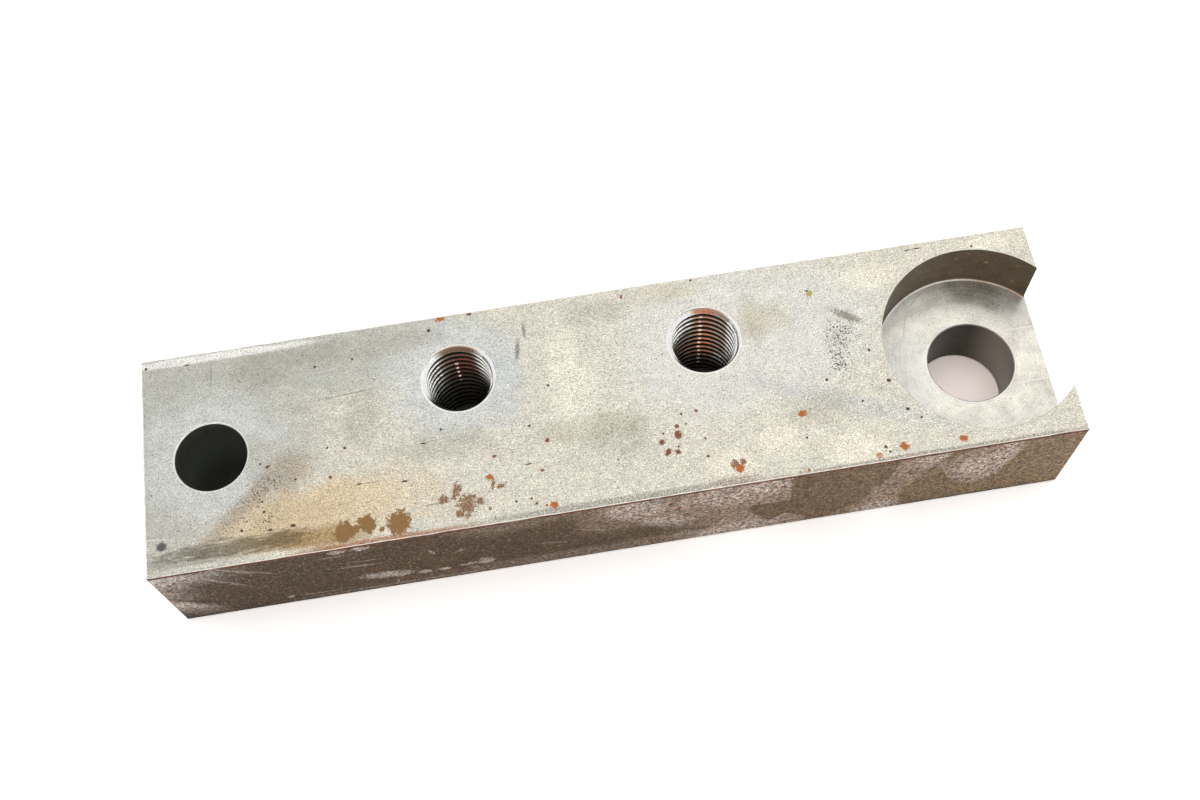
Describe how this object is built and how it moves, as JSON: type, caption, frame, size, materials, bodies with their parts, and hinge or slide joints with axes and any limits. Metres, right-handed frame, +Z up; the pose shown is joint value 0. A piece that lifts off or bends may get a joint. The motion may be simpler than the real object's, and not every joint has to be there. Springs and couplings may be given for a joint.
{
  "type": "machined mounting block",
  "caption": "Flat machined steel bar with a plain through hole, tapped through holes and a counterbored through hole whose counterbore opens through one end.",
  "frame": {"origin": "middle of the bottom face", "axes": "+X along the bar towards the end that the counterbore opens through, +Y across the bar towards the side that the tapped row is nearer, +Z up through the machined top face"},
  "size_m": [0.275, 0.07, 0.04],
  "materials": {
    "machined_steel": "ground satin top with light rust spots, dark oxide on the sides and in the holes"
  },
  "bodies": {
    "root": {"mounting_block": "machined_steel"}
  },
  "joints": []
}
